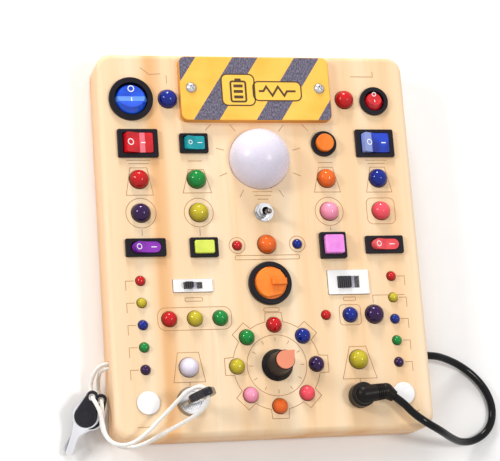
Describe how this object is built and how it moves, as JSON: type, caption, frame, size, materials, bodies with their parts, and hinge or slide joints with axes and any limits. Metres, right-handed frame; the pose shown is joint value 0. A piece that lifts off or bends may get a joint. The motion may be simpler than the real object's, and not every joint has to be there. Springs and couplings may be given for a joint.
{
  "type": "wooden busy board",
  "caption": "Wooden busy board lying flat, with rocker, toggle, slide and rotary switches, buttons, lamps, a dial, a dome, a key lock with a cord and a plug on a cable.",
  "frame": {"origin": "centre of the board's back face", "axes": "+Z out of the front face, +Y towards the edge with the cover plate, +X to the right seen from the front"},
  "size_m": [0.2311, 0.2081, 0.0532],
  "materials": {
    "pine_wood": "planed and clear coated",
    "back_plywood": "planed and clear coated",
    "cover_yellow": "moulded, low sheen",
    "steel_screws": "plain steel",
    "black_plastic": "moulded, low sheen",
    "blue_gloss": "moulded, glossy",
    "red_gloss": "moulded, glossy",
    "teal_gloss": "moulded, glossy",
    "purple_gloss": "moulded, glossy",
    "coral_gloss": "moulded, glossy",
    "orange_gloss": "moulded, glossy",
    "lime_gloss": "moulded, glossy",
    "pink_gloss": "moulded, glossy",
    "milky_dome": "moulded, glossy",
    "lamp_lens": "moulded, glossy",
    "chrome_metal": "bright plated",
    "brass_metal": "bright",
    "white_plastic": "moulded, low sheen",
    "salmon_plastic": "moulded, low sheen",
    "black_rubber": "satin",
    "white_cord": "braided",
    "pcb_green": "moulded, low sheen",
    "cell_silver": "plain steel",
    "loom_black": "moulded, low sheen"
  },
  "bodies": {
    "board": {"wooden_body": "pine_wood", "back_panel": "back_plywood", "cover_plate": "cover_yellow", "cover_screws": "steel_screws", "battery_holder": "black_plastic", "batteries": "cell_silver", "battery_contacts": "steel_screws", "circuit_boards": "pcb_green", "bulb_dome": "milky_dome", "touch_pads": "white_plastic", "leds_10mm": "lamp_lens", "leds_8mm": "lamp_lens", "leds_5mm": "lamp_lens", "terminals_and_leads": "steel_screws", "button_springs": "steel_screws", "toggle_body": "chrome_metal", "panel_nuts": "chrome_metal", "left_slide_frame": "white_plastic", "right_slide_frame": "white_plastic", "rotary_bezel": "black_plastic", "pot_case": "steel_screws", "lock_case": "chrome_metal", "spare_key_blades": "chrome_metal", "spare_key_heads": "black_plastic", "dc_jack": "black_plastic", "dc_cable": "black_rubber", "cable_gland": "black_plastic", "lanyard": "white_cord", "wiring_loom": "loom_black", "blue_round_rocker_housing": "black_plastic", "red_round_rocker_housing": "black_plastic", "red_rocker_housing": "black_plastic", "blue_rocker_housing": "black_plastic", "teal_rocker_housing": "black_plastic", "purple_rocker_housing": "black_plastic", "coral_rocker_housing": "black_plastic", "orange_button_housing": "black_plastic", "lime_button_housing": "black_plastic", "pink_button_housing": "black_plastic"},
    "blue_round_rocker": {"blue_round_rocker": "blue_gloss"},
    "red_round_rocker": {"red_round_rocker": "red_gloss"},
    "red_rocker": {"red_rocker": "red_gloss"},
    "blue_rocker": {"blue_rocker": "blue_gloss"},
    "teal_rocker": {"teal_rocker": "teal_gloss"},
    "purple_rocker": {"purple_rocker": "purple_gloss"},
    "coral_rocker": {"coral_rocker": "coral_gloss"},
    "orange_button": {"orange_button": "orange_gloss"},
    "lime_button": {"lime_button": "lime_gloss"},
    "pink_button": {"pink_button": "pink_gloss"},
    "toggle_lever": {"toggle_lever": "chrome_metal"},
    "left_slider": {"left_slide_knob": "black_plastic"},
    "right_slider": {"right_slide_knob": "black_plastic"},
    "rotary": {"rotary_knob": "orange_gloss"},
    "dial": {"pot_knob": "black_plastic", "pot_cap": "salmon_plastic"},
    "key": {"lock_cylinder": "brass_metal", "key_blade": "brass_metal", "key_head": "black_plastic"},
    "plug": {"plug_barrel": "chrome_metal", "plug_body": "black_rubber"}
  },
  "joints": [
    {"name": "blue_round_tilt", "type": "hinge", "parent": "board", "child": "blue_round_rocker", "pos_m": [-0.0659, 0.0752, 0.023], "axis": [1, 0, 0], "range_deg": [0, 20]},
    {"name": "red_round_tilt", "type": "hinge", "parent": "board", "child": "red_round_rocker", "pos_m": [0.0652, 0.0747, 0.023], "axis": [1, 0, 0], "range_deg": [0, 20]},
    {"name": "red_tilt", "type": "hinge", "parent": "board", "child": "red_rocker", "pos_m": [-0.0637, 0.0514, 0.023], "axis": [0, 1, 0], "range_deg": [-20, 0]},
    {"name": "blue_tilt", "type": "hinge", "parent": "board", "child": "blue_rocker", "pos_m": [0.0634, 0.0514, 0.023], "axis": [0, 1, 0], "range_deg": [-20, 0]},
    {"name": "teal_tilt", "type": "hinge", "parent": "board", "child": "teal_rocker", "pos_m": [-0.0344, 0.0514, 0.023], "axis": [0, 1, 0], "range_deg": [-20, 0]},
    {"name": "purple_tilt", "type": "hinge", "parent": "board", "child": "purple_rocker", "pos_m": [-0.0628, -0.0034, 0.023], "axis": [0, 1, 0], "range_deg": [-20, 0]},
    {"name": "coral_tilt", "type": "hinge", "parent": "board", "child": "coral_rocker", "pos_m": [0.0638, -0.0036, 0.023], "axis": [0, 1, 0], "range_deg": [-20, 0]},
    {"name": "orange_press", "type": "slide", "parent": "board", "child": "orange_button", "axis": [0, 0, -1], "range_m": [0, 0.002], "stiffness_N_per_m": 300, "springref_m": -0.0005, "deforming": ["button_springs"]},
    {"name": "lime_press", "type": "slide", "parent": "board", "child": "lime_button", "axis": [0, 0, -1], "range_m": [0, 0.002], "stiffness_N_per_m": 300, "springref_m": -0.0005, "deforming": ["button_springs"]},
    {"name": "pink_press", "type": "slide", "parent": "board", "child": "pink_button", "axis": [0, 0, -1], "range_m": [0, 0.002], "stiffness_N_per_m": 300, "springref_m": -0.0005, "deforming": ["button_springs"]},
    {"name": "toggle_flip", "type": "hinge", "parent": "board", "child": "toggle_lever", "pos_m": [0.0004, 0.0145, 0.0256], "axis": [1, 0, 0], "range_deg": [-24, 0]},
    {"name": "left_slide", "type": "slide", "parent": "board", "child": "left_slider", "axis": [1, 0, 0], "range_m": [0, 0.0049]},
    {"name": "right_slide", "type": "slide", "parent": "board", "child": "right_slider", "axis": [1, 0, 0], "range_m": [0, 0.0045]},
    {"name": "rotary_turn", "type": "hinge", "parent": "board", "child": "rotary", "pos_m": [0.0005, -0.0231, 0.024], "axis": [0, 0, 1], "range_deg": [0, 90]},
    {"name": "dial_turn", "type": "hinge", "parent": "board", "child": "dial", "pos_m": [0.0012, -0.0652, 0.024], "axis": [0, 0, 1], "range_deg": [-105, 195]},
    {"name": "key_turn", "type": "hinge", "parent": "board", "child": "key", "pos_m": [-0.0443, -0.0821, 0.024], "axis": [0, 0, 1], "range_deg": [-18, 72], "deforming": ["lanyard"]},
    {"name": "plug_pull", "type": "slide", "parent": "board", "child": "plug", "axis": [0, 0, 1], "range_m": [0, 0.012], "deforming": ["dc_cable"]}
  ]
}
